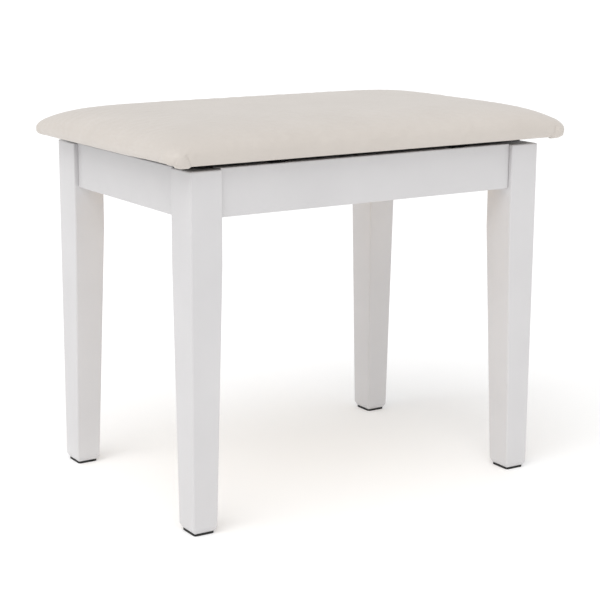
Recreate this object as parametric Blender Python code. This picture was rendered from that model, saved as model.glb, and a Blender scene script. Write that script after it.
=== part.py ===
"""Piano bench with a padded lid that lifts up over a shallow music compartment.

Units are metres and +Z is up. The origin is on the floor under the middle of the seat. +X runs along the
seat's long side and -Y is the front. The lid turns on two hinges behind the back rail, and a slotted stay
inside the right rail carries it: the stay's arm is as long as its pivot's distance from the hinge line, so
the arm always turns twice as far as the lid.
"""

import math

import bmesh
import bpy
from mathutils import Matrix, Vector

# Driving dimensions
GAP = 0.0003  # air between pieces that touch
OVERRUN = 0.01  # how far a cutter runs past the face that it opens
SHARP_ANGLE = math.radians(40)
SEAT_LENGTH = 0.5924  # widest level of the upholstered seat
SEAT_DEPTH = 0.3835
SEAT_SHIFT = 0.004  # the padded seat is screwed on this far to the right of the frame's middle
SEAT_CORNER_RADIUS = 0.020
HEM_HEIGHT = 0.4492  # underside of the upholstered seat
BULGE_HEIGHT = 0.4577  # widest level, where the crowned top begins
CROWN_HEIGHT = 0.4907
CROWN_POWER_X = 7.9  # a high power keeps the top flat until close to the edge
CROWN_POWER_Y = 5.1
CROWN_ROUNDNESS = 2.25
FRAME_LENGTH = 0.514  # over the outer faces of the legs
FRAME_DEPTH = 0.360
FRAME_SETBACK = 0.0035  # the seat overhangs more at the front than at the back
FRAME_TOP = 0.440

# Legs and glides
LEG_TOP_X = 0.042
LEG_TOP_Y = 0.048
LEG_FOOT_X = 0.033
LEG_FOOT_Y = 0.037
TAPER_START = 0.3275
FOOT_CHAMFER = 0.0028
FOOT_CHAMFER_HEIGHT = 0.006
LEG_EDGE = 0.0016
GLIDE_LENGTH_X = 0.0274
GLIDE_LENGTH_Y = 0.0312
GLIDE_CORNER = 0.0035
GLIDE_THICKNESS = 0.0022
NAIL_RADIUS = 0.0012
NAIL_LENGTH = 0.015

# Rails
RAIL_HEIGHT = 0.058
RAIL_THICKNESS = 0.018
RAIL_RECESS = 0.0056  # the rail's face is this far behind the leg's face
RAIL_EDGE = 0.0012
FRONT_RAIL_RISE = 0.0012  # the front rail stands this far above the tops of the legs
TENON_THICKNESS = 0.008
TENON_HEIGHT = 0.036
TENON_LENGTH = 0.012
TENON_DROP = 0.010  # from the rail's top down to the tenon's top

# Compartment floor
FLOOR_THICKNESS = 0.004
FLOOR_HEIGHT = 0.386
GROOVE_DEPTH = 0.006
FLOOR_ENGAGEMENT = 0.0054

# Corner blocks and their bolts
BLOCK_REACH_X = 0.085
BLOCK_REACH_Y = 0.091
BLOCK_TOP = 0.4285
BOLT_RADIUS = 0.003
BOLT_HEAD_RADIUS = 0.0055
BOLT_HEAD_HEIGHT = 0.004
BOLT_IN_LEG = 0.022
SOCKET_RADIUS = 0.0022
SOCKET_DEPTH = 0.0025
WASHER_RADIUS = 0.008
WASHER_THICKNESS = 0.0012

# Lid
BASE_BOARD_INSET = 0.015  # from the legs' outer faces
BASE_BOARD_BOTTOM = 0.4426
BOARD_CORNER = 0.004
HEM_INSET = 0.0085
HEM_TURN_UNDER = 0.0135
COVER_THICKNESS = 0.0012
SIDE_SHARES = (0.35, 0.7, 1.0)  # levels of the side band, as shares of its quarter turn
SMALLEST_CORNER = 0.004
BUMPER_LENGTH = 0.019
BUMPER_WIDTH = 0.015
BUMPER_EDGE = 0.0003
FRONT_BUMPER_X = 0.135
BACK_BUMPER_X = 0.090
LID_SCREW_X = 0.185
LID_SCREW_Y = 0.115

# Hinges
HINGE_PLACE_X = 0.150
HINGE_LENGTH = 0.060
KNUCKLES = 5
KNUCKLE_RADIUS = 0.0026
HINGE_PIN_RADIUS = 0.001
LEAF_THICKNESS = 0.0012
FIXED_LEAF_HEIGHT = 0.025
MOVING_LEAF_DEPTH = 0.032
LEAF_SCREW_SPACING = 0.036
LEAF_SCREW_DROP = 0.015  # from the hinge line down to the fixed leaf's screws
LEAF_SCREW_INSET = 0.0224  # from the hinge line in to the moving leaf's screws
HINGE_SCREW_LENGTH = 0.012

# Stay
STAY_ARM_LENGTH = 0.120
STAY_TRACK_DROP = math.radians(2.5)  # the track slopes this far below the lid
STAY_PIVOT_DROP = math.radians(5.0)
LID_OPENING = math.radians(72.0)
STAY_PLATE = 0.0015
STAY_ARM_HALF_WIDTH = 0.005
STAY_PIN_RADIUS = 0.0019
SLOT_HALF_WIDTH = 0.0023
SLOT_SPARE = 0.0006
TRACK_RIM = 0.0035
STAY_SPACER = 0.0008
STAY_SPACER_RADIUS = 0.005
STAY_PIVOT_RADIUS = 0.002
STAY_PIVOT_HEAD = 0.0045
STAY_PIVOT_LENGTH = 0.015
STAY_HEAD_THICKNESS = 0.0015
STAY_PIN_HEAD = 0.004
STAY_PIN_RIVET = 0.0032
TRACK_FLANGE = 0.013
TRACK_SCREW_LENGTH = 0.0055
TRACK_SCREW_MARGIN = 0.020

# Countersunk screws
SCREW_RADIUS = 0.0015
SCREW_HEAD_RADIUS = 0.0032
SCREW_HEAD_HEIGHT = 0.0016
SCREW_RECESS_RADIUS = 0.001
SCREW_RECESS_DEPTH = 0.0008

# Mesh resolution
ROUND_SIDES = 20
SMALL_SIDES = 12
CROWN_CELLS_X = 24
CROWN_CELLS_Y = 18

# Derived places
FRAME_FRONT = FRAME_SETBACK - FRAME_DEPTH / 2
FRAME_BACK = FRAME_SETBACK + FRAME_DEPTH / 2
RAIL_INNER = RAIL_RECESS + RAIL_THICKNESS
RAIL_BOTTOM = FRAME_TOP - RAIL_HEIGHT
LEG_BOTTOM = GLIDE_THICKNESS + GAP
BASE_BOARD_TOP = HEM_HEIGHT + COVER_THICKNESS
SEAT_BOARD_BOTTOM = BASE_BOARD_TOP + GAP
SEAT_BOARD_TOP = BULGE_HEIGHT - GAP
LEAF_TOP = BASE_BOARD_BOTTOM - GAP
LEAF_BOTTOM = LEAF_TOP - LEAF_THICKNESS
BACK_RAIL_FACE = FRAME_BACK - RAIL_RECESS
HINGE_Y = BACK_RAIL_FACE + GAP + KNUCKLE_RADIUS
HINGE_Z = LEAF_TOP - KNUCKLE_RADIUS
RIGHT_RAIL_INNER = FRAME_LENGTH / 2 - RAIL_INNER
STAY_PIVOT_Y = HINGE_Y - STAY_ARM_LENGTH * math.cos(STAY_PIVOT_DROP)
STAY_PIVOT_Z = HINGE_Z - STAY_ARM_LENGTH * math.sin(STAY_PIVOT_DROP)
STAY_PIN_Y = STAY_PIVOT_Y - STAY_ARM_LENGTH

MATERIALS = {
    "white_paint": ((0.68, 0.67, 0.675), 0.38, 0.0),
    "bare_wood": ((0.62, 0.47, 0.31), 0.65, 0.0),
    "plywood": ((0.66, 0.52, 0.36), 0.60, 0.0),
    "black_board": ((0.012, 0.012, 0.012), 0.60, 0.0),
    "foam": ((0.78, 0.72, 0.52), 0.95, 0.0),
    "leatherette": ((0.68, 0.63, 0.59), 0.50, 0.0),
    "black_rubber": ((0.015, 0.015, 0.015), 0.70, 0.0),
    "steel": ((0.55, 0.55, 0.56), 0.32, 1.0),
}


def clear_scene():
    for obj in list(bpy.data.objects):
        bpy.data.objects.remove(obj, do_unlink=True)


def get_material(name):
    material = bpy.data.materials.get(name)
    if material is None:
        colour, roughness, metallic = MATERIALS[name]
        material = bpy.data.materials.new(name)
        material.use_nodes = True
        shader = material.node_tree.nodes["Principled BSDF"]
        shader.inputs["Base Color"].default_value = (*colour, 1.0)
        shader.inputs["Roughness"].default_value = roughness
        shader.inputs["Metallic"].default_value = metallic
    return material


def add_object(name, bm, material, smooth=False):
    bmesh.ops.recalc_face_normals(bm, faces=bm.faces)
    mesh = bpy.data.meshes.new(name)
    bm.to_mesh(mesh)
    bm.free()
    mesh.materials.append(get_material(material))
    if smooth:
        mesh.shade_smooth()
        mesh.set_sharp_from_angle(angle=SHARP_ANGLE)
    obj = bpy.data.objects.new(name, mesh)
    bpy.context.collection.objects.link(obj)
    return obj


def bake(obj):
    """Replace the object's mesh with its evaluated one, so that its modifiers are applied in order."""
    depsgraph = bpy.context.evaluated_depsgraph_get()
    mesh = bpy.data.meshes.new_from_object(obj.evaluated_get(depsgraph))
    obj.modifiers.clear()
    obj.data = mesh


def combine(obj, tool, operation):
    modifier = obj.modifiers.new(operation.lower(), "BOOLEAN")
    modifier.operation = operation
    modifier.solver = "EXACT"
    modifier.object = tool
    bake(obj)
    bpy.data.objects.remove(tool, do_unlink=True)


def cut(obj, tool):
    combine(obj, tool, "DIFFERENCE")


def unite(obj, tool):
    combine(obj, tool, "UNION")


def box(name, low, high, material="steel"):
    bm = bmesh.new()
    bmesh.ops.create_cube(bm, size=1.0)
    low = Vector(low)
    high = Vector(high)
    for vert in bm.verts:
        vert.co = Vector(low[i] if vert.co[i] < 0 else high[i] for i in range(3))
    return add_object(name, bm, material)


def bevel_edges(obj, width, segments=2):
    modifier = obj.modifiers.new("bevel", "BEVEL")
    modifier.width = width
    modifier.segments = segments
    modifier.limit_method = "ANGLE"
    modifier.angle_limit = SHARP_ANGLE
    bake(obj)


def prism(name, outline, axis, low, high, material="steel"):
    """Extrude an outline along X or Z. An X prism's outline is in (y, z), a Z prism's in (x, y)."""
    bm = bmesh.new()
    rings = []
    for level in (low, high):
        places = [(level, a, b) if axis == "X" else (a, b, level) for a, b in outline]
        rings.append([bm.verts.new(place) for place in places])
    bm.faces.new(rings[0])
    bm.faces.new(rings[1])
    for i in range(len(outline)):
        j = (i + 1) % len(outline)
        bm.faces.new((rings[0][i], rings[0][j], rings[1][j], rings[1][i]))
    return add_object(name, bm, material)


def turned(name, profile, origin, direction, material="steel", sides=SMALL_SIDES):
    """Turn a profile of (radius, height) points about a line.

    A profile that starts and ends at radius 0 is a solid of revolution. Any other profile is a closed ring.
    """
    is_ring = profile[0][0] > 0
    turn = Vector((0, 0, 1)).rotation_difference(Vector(direction).normalized()).to_matrix().to_4x4()
    place = Matrix.Translation(Vector(origin)) @ turn
    bm = bmesh.new()
    loops = []
    for radius, height in profile:
        if radius == 0:
            loops.append([bm.verts.new(place @ Vector((0, 0, height)))] * sides)
            continue
        angles = [2 * math.pi * i / sides for i in range(sides)]
        points = [Vector((radius * math.cos(a), radius * math.sin(a), height)) for a in angles]
        loops.append([bm.verts.new(place @ point) for point in points])
    pairs = list(zip(loops, loops[1:]))
    if is_ring:
        pairs.append((loops[-1], loops[0]))
    for lower, upper in pairs:
        for i in range(sides):
            j = (i + 1) % sides
            corners = []
            for vert in (lower[i], lower[j], upper[j], upper[i]):
                if vert not in corners:
                    corners.append(vert)
            bm.faces.new(corners)
    return add_object(name, bm, material, smooth=True)


def rod(name, radius, start, end, material="steel", sides=SMALL_SIDES):
    start = Vector(start)
    length = (Vector(end) - start).length
    profile = [(0, 0), (radius, 0), (radius, length), (0, length)]
    return turned(name, profile, start, Vector(end) - start, material, sides)


def stadium(centre_a, centre_b, radius, steps=8):
    """Outline of a bar with round ends, in a plane."""
    a = Vector(centre_a)
    b = Vector(centre_b)
    heading = math.atan2(b.y - a.y, b.x - a.x)
    outline = []
    for centre, start in ((b, heading - math.pi / 2), (a, heading + math.pi / 2)):
        for i in range(steps + 1):
            angle = start + math.pi * i / steps
            outline.append((centre.x + radius * math.cos(angle), centre.y + radius * math.sin(angle)))
    return outline


def rounded_rectangle(low, high, radius, steps=3):
    outline = []
    corners = ((high[0], high[1], 0), (low[0], high[1], 1), (low[0], low[1], 2), (high[0], low[1], 3))
    for x, y, quarter in corners:
        centre_x = x - radius if quarter in (0, 3) else x + radius
        centre_y = y - radius if quarter in (0, 1) else y + radius
        for i in range(steps + 1):
            angle = math.pi / 2 * (quarter + i / steps)
            outline.append((centre_x + radius * math.cos(angle), centre_y + radius * math.sin(angle)))
    return outline


def corner_point(side_x, side_y, u, v, z=0.0):
    """A point u and v inside the outer faces of the leg at one corner of the frame."""
    return Vector((side_x * (FRAME_LENGTH / 2 - u), FRAME_SETBACK + side_y * (FRAME_DEPTH / 2 - v), z))


def corner_box(name, side_x, side_y, low, high, material="steel"):
    a = corner_point(side_x, side_y, low[0], low[1], low[2])
    b = corner_point(side_x, side_y, high[0], high[1], high[2])
    lows = [min(a[i], b[i]) for i in range(3)]
    highs = [max(a[i], b[i]) for i in range(3)]
    return box(name, lows, highs, material)


CORNERS = {
    "front_left": (-1, -1),
    "front_right": (1, -1),
    "back_left": (-1, 1),
    "back_right": (1, 1),
}


def bolt_line(side_x, side_y):
    """Start on the block's diagonal face and unit direction into the leg."""
    bolt_height = (FLOOR_HEIGHT + FLOOR_THICKNESS + BLOCK_TOP) / 2
    reach = Vector((BLOCK_REACH_X - RAIL_INNER, RAIL_INNER - BLOCK_REACH_Y))
    inward = Vector((reach.y, -reach.x)).normalized()
    leg_corner = Vector((LEG_TOP_X, LEG_TOP_Y))
    face_corner = Vector((BLOCK_REACH_X, RAIL_INNER))
    depth = (leg_corner - face_corner).dot(inward)
    start = leg_corner - inward * depth
    origin = corner_point(side_x, side_y, start.x, start.y, bolt_height)
    direction = Vector((-side_x * inward.x, -side_y * inward.y, 0))
    return origin, direction, depth


def make_leg(corner):
    side_x, side_y = CORNERS[corner]
    levels = (
        (LEG_BOTTOM, LEG_FOOT_X, LEG_FOOT_Y, FOOT_CHAMFER),
        (LEG_BOTTOM + FOOT_CHAMFER_HEIGHT, LEG_FOOT_X, LEG_FOOT_Y, 0.0),
        (TAPER_START, LEG_TOP_X, LEG_TOP_Y, 0.0),
        (FRAME_TOP, LEG_TOP_X, LEG_TOP_Y, 0.0),
    )
    bm = bmesh.new()
    rings = []
    for z, width_x, width_y, inset in levels:
        far_u = width_x - inset
        far_v = width_y - inset
        plan = ((inset, inset), (far_u, inset), (far_u, far_v), (inset, far_v))
        rings.append([bm.verts.new(corner_point(side_x, side_y, u, v, z)) for u, v in plan])
    bm.faces.new(rings[0])
    bm.faces.new(rings[-1])
    for lower, upper in zip(rings, rings[1:]):
        for i in range(4):
            j = (i + 1) % 4
            bm.faces.new((lower[i], lower[j], upper[j], upper[i]))
    leg = add_object("leg_" + corner, bm, "white_paint")
    bevel_edges(leg, LEG_EDGE)
    slot_low = RAIL_RECESS + (RAIL_THICKNESS - TENON_THICKNESS) / 2 - GAP
    slot_high = slot_low + TENON_THICKNESS + 2 * GAP
    slot_top = FRAME_TOP - TENON_DROP + GAP
    slot_bottom = slot_top - TENON_HEIGHT - 2 * GAP
    depth = TENON_LENGTH + GAP
    cut(leg, corner_box("mortise", side_x, side_y, (LEG_TOP_X - depth, slot_low, slot_bottom),
                        (LEG_TOP_X + OVERRUN, slot_high, slot_top)))
    cut(leg, corner_box("mortise", side_x, side_y, (slot_low, LEG_TOP_Y - depth, slot_bottom),
                        (slot_high, LEG_TOP_Y + OVERRUN, slot_top)))
    origin, direction, block_depth = bolt_line(side_x, side_y)
    end = origin + direction * (block_depth + BOLT_IN_LEG + 2 * GAP)
    cut(leg, rod("bolt_hole", BOLT_RADIUS + GAP, origin, end))
    foot = corner_point(side_x, side_y, LEG_FOOT_X / 2, LEG_FOOT_Y / 2)
    nail_top = foot + Vector((0, 0, LEG_BOTTOM + NAIL_LENGTH + GAP))
    cut(leg, rod("nail_hole", NAIL_RADIUS + GAP, foot, nail_top))


def make_glide(corner):
    """Rubber pad under a foot, with a moulded-in nail."""
    side_x, side_y = CORNERS[corner]
    foot = corner_point(side_x, side_y, LEG_FOOT_X / 2, LEG_FOOT_Y / 2)
    low = (foot.x - GLIDE_LENGTH_X / 2, foot.y - GLIDE_LENGTH_Y / 2)
    high = (foot.x + GLIDE_LENGTH_X / 2, foot.y + GLIDE_LENGTH_Y / 2)
    outline = rounded_rectangle(low, high, GLIDE_CORNER)
    glide = prism("glide_" + corner, outline, "Z", 0.0, GLIDE_THICKNESS, "black_rubber")
    root = foot + Vector((0, 0, GLIDE_THICKNESS / 2))
    tip = foot + Vector((0, 0, LEG_BOTTOM + NAIL_LENGTH))
    unite(glide, rod("nail", NAIL_RADIUS, root, tip))


def make_long_rail(name, side_y, rise):
    """Front or back rail, with a tenon at each end and a groove for the compartment floor."""
    end = FRAME_LENGTH / 2 - LEG_TOP_X - GAP
    outer = FRAME_SETBACK + side_y * (FRAME_DEPTH / 2 - RAIL_RECESS)
    inner = FRAME_SETBACK + side_y * (FRAME_DEPTH / 2 - RAIL_INNER)
    low = (-end, min(outer, inner), RAIL_BOTTOM + rise)
    high = (end, max(outer, inner), FRAME_TOP + rise)
    rail = box(name, low, high, "white_paint")
    bevel_edges(rail, RAIL_EDGE)
    middle = (outer + inner) / 2
    tenon_top = FRAME_TOP - TENON_DROP
    tenon_bottom = tenon_top - TENON_HEIGHT
    tenon_end = end + TENON_LENGTH
    unite(rail, box("tenon", (-tenon_end, middle - TENON_THICKNESS / 2, tenon_bottom),
                    (tenon_end, middle + TENON_THICKNESS / 2, tenon_top)))
    groove_end = tenon_end + OVERRUN
    groove = sorted((inner - side_y * OVERRUN, inner + side_y * GROOVE_DEPTH))
    cut(rail, box("groove", (-groove_end, groove[0], FLOOR_HEIGHT - GAP),
                  (groove_end, groove[1], FLOOR_HEIGHT + FLOOR_THICKNESS + GAP)))
    return rail


def make_short_rail(name, side_x):
    """Left or right rail, with a tenon at each end and a groove for the compartment floor."""
    end = FRAME_DEPTH / 2 - LEG_TOP_Y - GAP
    outer = side_x * (FRAME_LENGTH / 2 - RAIL_RECESS)
    inner = side_x * (FRAME_LENGTH / 2 - RAIL_INNER)
    rail = box(name, (min(outer, inner), FRAME_SETBACK - end, RAIL_BOTTOM),
               (max(outer, inner), FRAME_SETBACK + end, FRAME_TOP), "white_paint")
    bevel_edges(rail, RAIL_EDGE)
    middle = (outer + inner) / 2
    tenon_top = FRAME_TOP - TENON_DROP
    tenon_bottom = tenon_top - TENON_HEIGHT
    tenon_end = end + TENON_LENGTH
    unite(rail, box("tenon", (middle - TENON_THICKNESS / 2, FRAME_SETBACK - tenon_end, tenon_bottom),
                    (middle + TENON_THICKNESS / 2, FRAME_SETBACK + tenon_end, tenon_top)))
    groove_end = tenon_end + OVERRUN
    groove = sorted((inner - side_x * OVERRUN, inner + side_x * GROOVE_DEPTH))
    cut(rail, box("groove", (groove[0], FRAME_SETBACK - groove_end, FLOOR_HEIGHT - GAP),
                  (groove[1], FRAME_SETBACK + groove_end, FLOOR_HEIGHT + FLOOR_THICKNESS + GAP)))
    return rail


def make_compartment_floor():
    """Thin panel held in the rails' grooves and notched around the legs."""
    half_x = FRAME_LENGTH / 2 - RAIL_INNER + FLOOR_ENGAGEMENT
    half_y = FRAME_DEPTH / 2 - RAIL_INNER + FLOOR_ENGAGEMENT
    floor = box("compartment_floor", (-half_x, FRAME_SETBACK - half_y, FLOOR_HEIGHT),
                (half_x, FRAME_SETBACK + half_y, FLOOR_HEIGHT + FLOOR_THICKNESS), "plywood")
    for side_x, side_y in CORNERS.values():
        cut(floor, corner_box("notch", side_x, side_y, (0, 0, FLOOR_HEIGHT - OVERRUN),
                              (LEG_TOP_X + GAP, LEG_TOP_Y + GAP, FLOOR_HEIGHT + OVERRUN)))


def make_corner_block(corner):
    side_x, side_y = CORNERS[corner]
    rail_face = RAIL_INNER + GAP
    plan = ((LEG_TOP_X + GAP, rail_face), (BLOCK_REACH_X, rail_face), (rail_face, BLOCK_REACH_Y),
            (rail_face, LEG_TOP_Y + GAP), (LEG_TOP_X + GAP, LEG_TOP_Y + GAP))
    outline = [corner_point(side_x, side_y, u, v).xy for u, v in plan]
    bottom = FLOOR_HEIGHT + FLOOR_THICKNESS + 2 * GAP
    block = prism("corner_block_" + corner, outline, "Z", bottom, BLOCK_TOP, "bare_wood")
    origin, direction, block_depth = bolt_line(side_x, side_y)
    cut(block, rod("bolt_hole", BOLT_RADIUS + GAP, origin - direction * OVERRUN,
                   origin + direction * (block_depth + OVERRUN)))


def make_corner_bolt(corner):
    """Socket-head bolt and washer that pull the corner block against the leg."""
    side_x, side_y = CORNERS[corner]
    origin, direction, block_depth = bolt_line(side_x, side_y)
    washer_seat = origin - direction * (GAP + WASHER_THICKNESS)
    hole = BOLT_RADIUS + GAP
    ring = [(hole, 0), (WASHER_RADIUS, 0), (WASHER_RADIUS, WASHER_THICKNESS), (hole, WASHER_THICKNESS)]
    turned("washer_" + corner, ring, washer_seat, direction, "steel", ROUND_SIDES)
    head_seat = washer_seat - direction * GAP
    head_back = head_seat - direction * BOLT_HEAD_HEIGHT
    shank_end = BOLT_HEAD_HEIGHT + 2 * GAP + WASHER_THICKNESS + block_depth + BOLT_IN_LEG
    profile = [(0, SOCKET_DEPTH), (SOCKET_RADIUS, SOCKET_DEPTH), (SOCKET_RADIUS, 0),
               (BOLT_HEAD_RADIUS, 0), (BOLT_HEAD_RADIUS, BOLT_HEAD_HEIGHT), (BOLT_RADIUS, BOLT_HEAD_HEIGHT),
               (BOLT_RADIUS, shank_end), (0, shank_end)]
    turned("corner_bolt_" + corner, profile, head_back, direction)


def screw_profile(length):
    """Countersunk screw with its flat head at height 0 and a small drive recess."""
    return [(0, SCREW_RECESS_DEPTH), (SCREW_RECESS_RADIUS, 0), (SCREW_HEAD_RADIUS, 0),
            (SCREW_RADIUS, SCREW_HEAD_HEIGHT), (SCREW_RADIUS, length), (0, length + SCREW_RADIUS)]


def screw_hole(origin, direction, length):
    """Cutter for a countersunk screw: its own shape, grown by the gap and run out past the head."""
    head = SCREW_HEAD_RADIUS + GAP
    shank = SCREW_RADIUS + GAP
    profile = [(0, -OVERRUN), (head, -OVERRUN), (head, 0), (shank, SCREW_HEAD_HEIGHT + GAP),
               (shank, length + SCREW_RADIUS + GAP), (0, length + SCREW_RADIUS + GAP)]
    return turned("screw_hole", profile, origin, direction)


def make_screw(name, origin, direction, length, holed):
    """Make a countersunk screw and drill its hole through each piece that it holds."""
    turned(name, screw_profile(length), origin, direction)
    for obj in holed:
        cut(obj, screw_hole(origin, direction, length))


def on_crown(u, v, half_x, half_y, radius):
    """Map a point of the unit square to a rounded rectangle with the same centre."""
    x = u * half_x
    y = v * half_y
    over_x = max(abs(x) - (half_x - radius), 0.0)
    over_y = max(abs(y) - (half_y - radius), 0.0)
    new_x = over_x * math.sqrt(1 - over_y ** 2 / (2 * radius ** 2))
    new_y = over_y * math.sqrt(1 - over_x ** 2 / (2 * radius ** 2))
    return math.copysign(abs(x) - over_x + new_x, x), math.copysign(abs(y) - over_y + new_y, y)


def crown_rise(u, v):
    """Height of the crowned top as a share of its full rise: 1 in the middle and 0 at the edge."""
    share_x = max(1 - abs(u) ** CROWN_POWER_X, 0.0) ** (1 / CROWN_ROUNDNESS)
    share_y = max(1 - abs(v) ** CROWN_POWER_Y, 0.0) ** (1 / CROWN_ROUNDNESS)
    return share_x * share_y


def spread(count):
    """Grid positions from -1 to 1 that crowd together towards both ends."""
    crowding = 2.2
    positions = []
    for i in range(count + 1):
        t = 2 * i / count - 1
        positions.append(math.copysign(1 - (1 - abs(t)) ** crowding, t))
    return positions


def rim_order(columns, rows):
    """Grid indices around the rim, once round."""
    order = [(i, 0) for i in range(columns)]
    order += [(columns, j) for j in range(rows)]
    order += [(columns - i, rows) for i in range(columns)]
    order += [(0, rows - j) for j in range(rows)]
    return order


def add_crown(bm, inset):
    """Add the crowned top, inset from the seat's outer surface, and return its rim vertices in order."""
    half_x = SEAT_LENGTH / 2 - inset
    half_y = SEAT_DEPTH / 2 - inset
    rise = CROWN_HEIGHT - BULGE_HEIGHT - inset
    us = spread(CROWN_CELLS_X)
    vs = spread(CROWN_CELLS_Y)
    grid = []
    for u in us:
        column = []
        for v in vs:
            x, y = on_crown(u, v, half_x, half_y, SEAT_CORNER_RADIUS)
            column.append(bm.verts.new((x + SEAT_SHIFT, y, BULGE_HEIGHT + rise * crown_rise(u, v))))
        grid.append(column)
    for i in range(CROWN_CELLS_X):
        for j in range(CROWN_CELLS_Y):
            bm.faces.new((grid[i][j], grid[i + 1][j], grid[i + 1][j + 1], grid[i][j + 1]))
    return [grid[i][j] for i, j in rim_order(CROWN_CELLS_X, CROWN_CELLS_Y)]


def add_rim(bm, inset, z):
    """Add a rounded-rectangle loop that matches the crown's rim vertices."""
    half_x = SEAT_LENGTH / 2 - inset
    half_y = SEAT_DEPTH / 2 - inset
    radius = max(SEAT_CORNER_RADIUS - inset, SMALLEST_CORNER)
    us = spread(CROWN_CELLS_X)
    vs = spread(CROWN_CELLS_Y)
    loop = []
    for i, j in rim_order(CROWN_CELLS_X, CROWN_CELLS_Y):
        x, y = on_crown(us[i], vs[j], half_x, half_y, radius)
        loop.append(bm.verts.new((x + SEAT_SHIFT, y, z)))
    return loop


def bridge(bm, loop_a, loop_b):
    for i in range(len(loop_a)):
        j = (i + 1) % len(loop_a)
        bm.faces.new((loop_a[i], loop_a[j], loop_b[j], loop_b[i]))


def make_seat_cover():
    """Leatherette skin: crowned top, side band and a hem turned under the board, open underneath."""
    thickness = COVER_THICKNESS
    side_drop = BULGE_HEIGHT - HEM_HEIGHT
    bm = bmesh.new()
    loops = [add_crown(bm, 0.0)]
    for share in SIDE_SHARES:
        inset = HEM_INSET * (1 - math.cos(share * math.pi / 2))
        loops.append(add_rim(bm, inset, BULGE_HEIGHT - side_drop * math.sin(share * math.pi / 2)))
    under = HEM_INSET + HEM_TURN_UNDER
    loops.append(add_rim(bm, under, HEM_HEIGHT))
    loops.append(add_rim(bm, under, HEM_HEIGHT + thickness))
    for share in reversed(SIDE_SHARES):
        inset = thickness + HEM_INSET * (1 - math.cos(share * math.pi / 2))
        z = BULGE_HEIGHT - (side_drop - thickness) * math.sin(share * math.pi / 2)
        loops.append(add_rim(bm, inset, z))
    loops.append(add_crown(bm, thickness))
    for loop_a, loop_b in zip(loops, loops[1:]):
        bridge(bm, loop_a, loop_b)
    return add_object("seat_cover", bm, "leatherette", smooth=True)


def make_seat_foam():
    bm = bmesh.new()
    rim = add_crown(bm, COVER_THICKNESS + 2 * GAP)
    bm.faces.new(rim)
    return add_object("seat_foam", bm, "foam", smooth=True)


def make_boards():
    """Seat board inside the cover, and the black base board under it that closes the compartment."""
    inset = HEM_INSET + COVER_THICKNESS + 2 * GAP
    half_x = SEAT_LENGTH / 2 - inset
    half_y = SEAT_DEPTH / 2 - inset
    low = (SEAT_SHIFT - half_x, -half_y)
    high = (SEAT_SHIFT + half_x, half_y)
    outline = rounded_rectangle(low, high, SEAT_CORNER_RADIUS - HEM_INSET)
    seat_board = prism("seat_board", outline, "Z", SEAT_BOARD_BOTTOM, SEAT_BOARD_TOP, "black_board")
    base_x = FRAME_LENGTH / 2 - BASE_BOARD_INSET
    low = (-base_x, FRAME_FRONT + BASE_BOARD_INSET)
    high = (base_x, FRAME_BACK - BASE_BOARD_INSET)
    outline = rounded_rectangle(low, high, BOARD_CORNER)
    base_board = prism("lid_base_board", outline, "Z", BASE_BOARD_BOTTOM, BASE_BOARD_TOP, "black_board")
    length = SEAT_BOARD_TOP - BASE_BOARD_BOTTOM - SCREW_RADIUS - 4 * GAP
    for corner, (side_x, side_y) in CORNERS.items():
        origin = (side_x * LID_SCREW_X, side_y * LID_SCREW_Y, BASE_BOARD_BOTTOM)
        make_screw("lid_screw_" + corner, origin, (0, 0, 1), length, (base_board, seat_board))
    return base_board, seat_board


def make_bumper(corner):
    """Rubber pad on the rail's top, which the lid rests on."""
    side_x, side_y = CORNERS[corner]
    outer = FRAME_SETBACK + side_y * (FRAME_DEPTH / 2 - RAIL_RECESS - RAIL_EDGE)
    inner = outer - side_y * BUMPER_WIDTH
    middle = side_x * (FRONT_BUMPER_X if side_y < 0 else BACK_BUMPER_X)
    bottom = FRAME_TOP + GAP + (FRONT_RAIL_RISE if side_y < 0 else 0.0)
    low = (middle - BUMPER_LENGTH / 2, min(outer, inner), bottom)
    high = (middle + BUMPER_LENGTH / 2, max(outer, inner), BASE_BOARD_BOTTOM - GAP)
    pad = box("bumper_" + corner, low, high, "black_rubber")
    bevel_edges(pad, BUMPER_EDGE)


def knuckle_span(index, centre):
    step = HINGE_LENGTH / KNUCKLES
    start = centre - HINGE_LENGTH / 2 + index * step
    return start + GAP / 2, start + step - GAP / 2


def add_knuckles(leaf, centre, indices):
    for index in indices:
        start, end = knuckle_span(index, centre)
        unite(leaf, rod("knuckle", KNUCKLE_RADIUS, (start, HINGE_Y, HINGE_Z), (end, HINGE_Y, HINGE_Z),
                        sides=ROUND_SIDES))
    reach = HINGE_LENGTH / 2 + OVERRUN
    cut(leaf, rod("pin_bore", HINGE_PIN_RADIUS + GAP, (centre - reach, HINGE_Y, HINGE_Z),
                  (centre + reach, HINGE_Y, HINGE_Z)))


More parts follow.
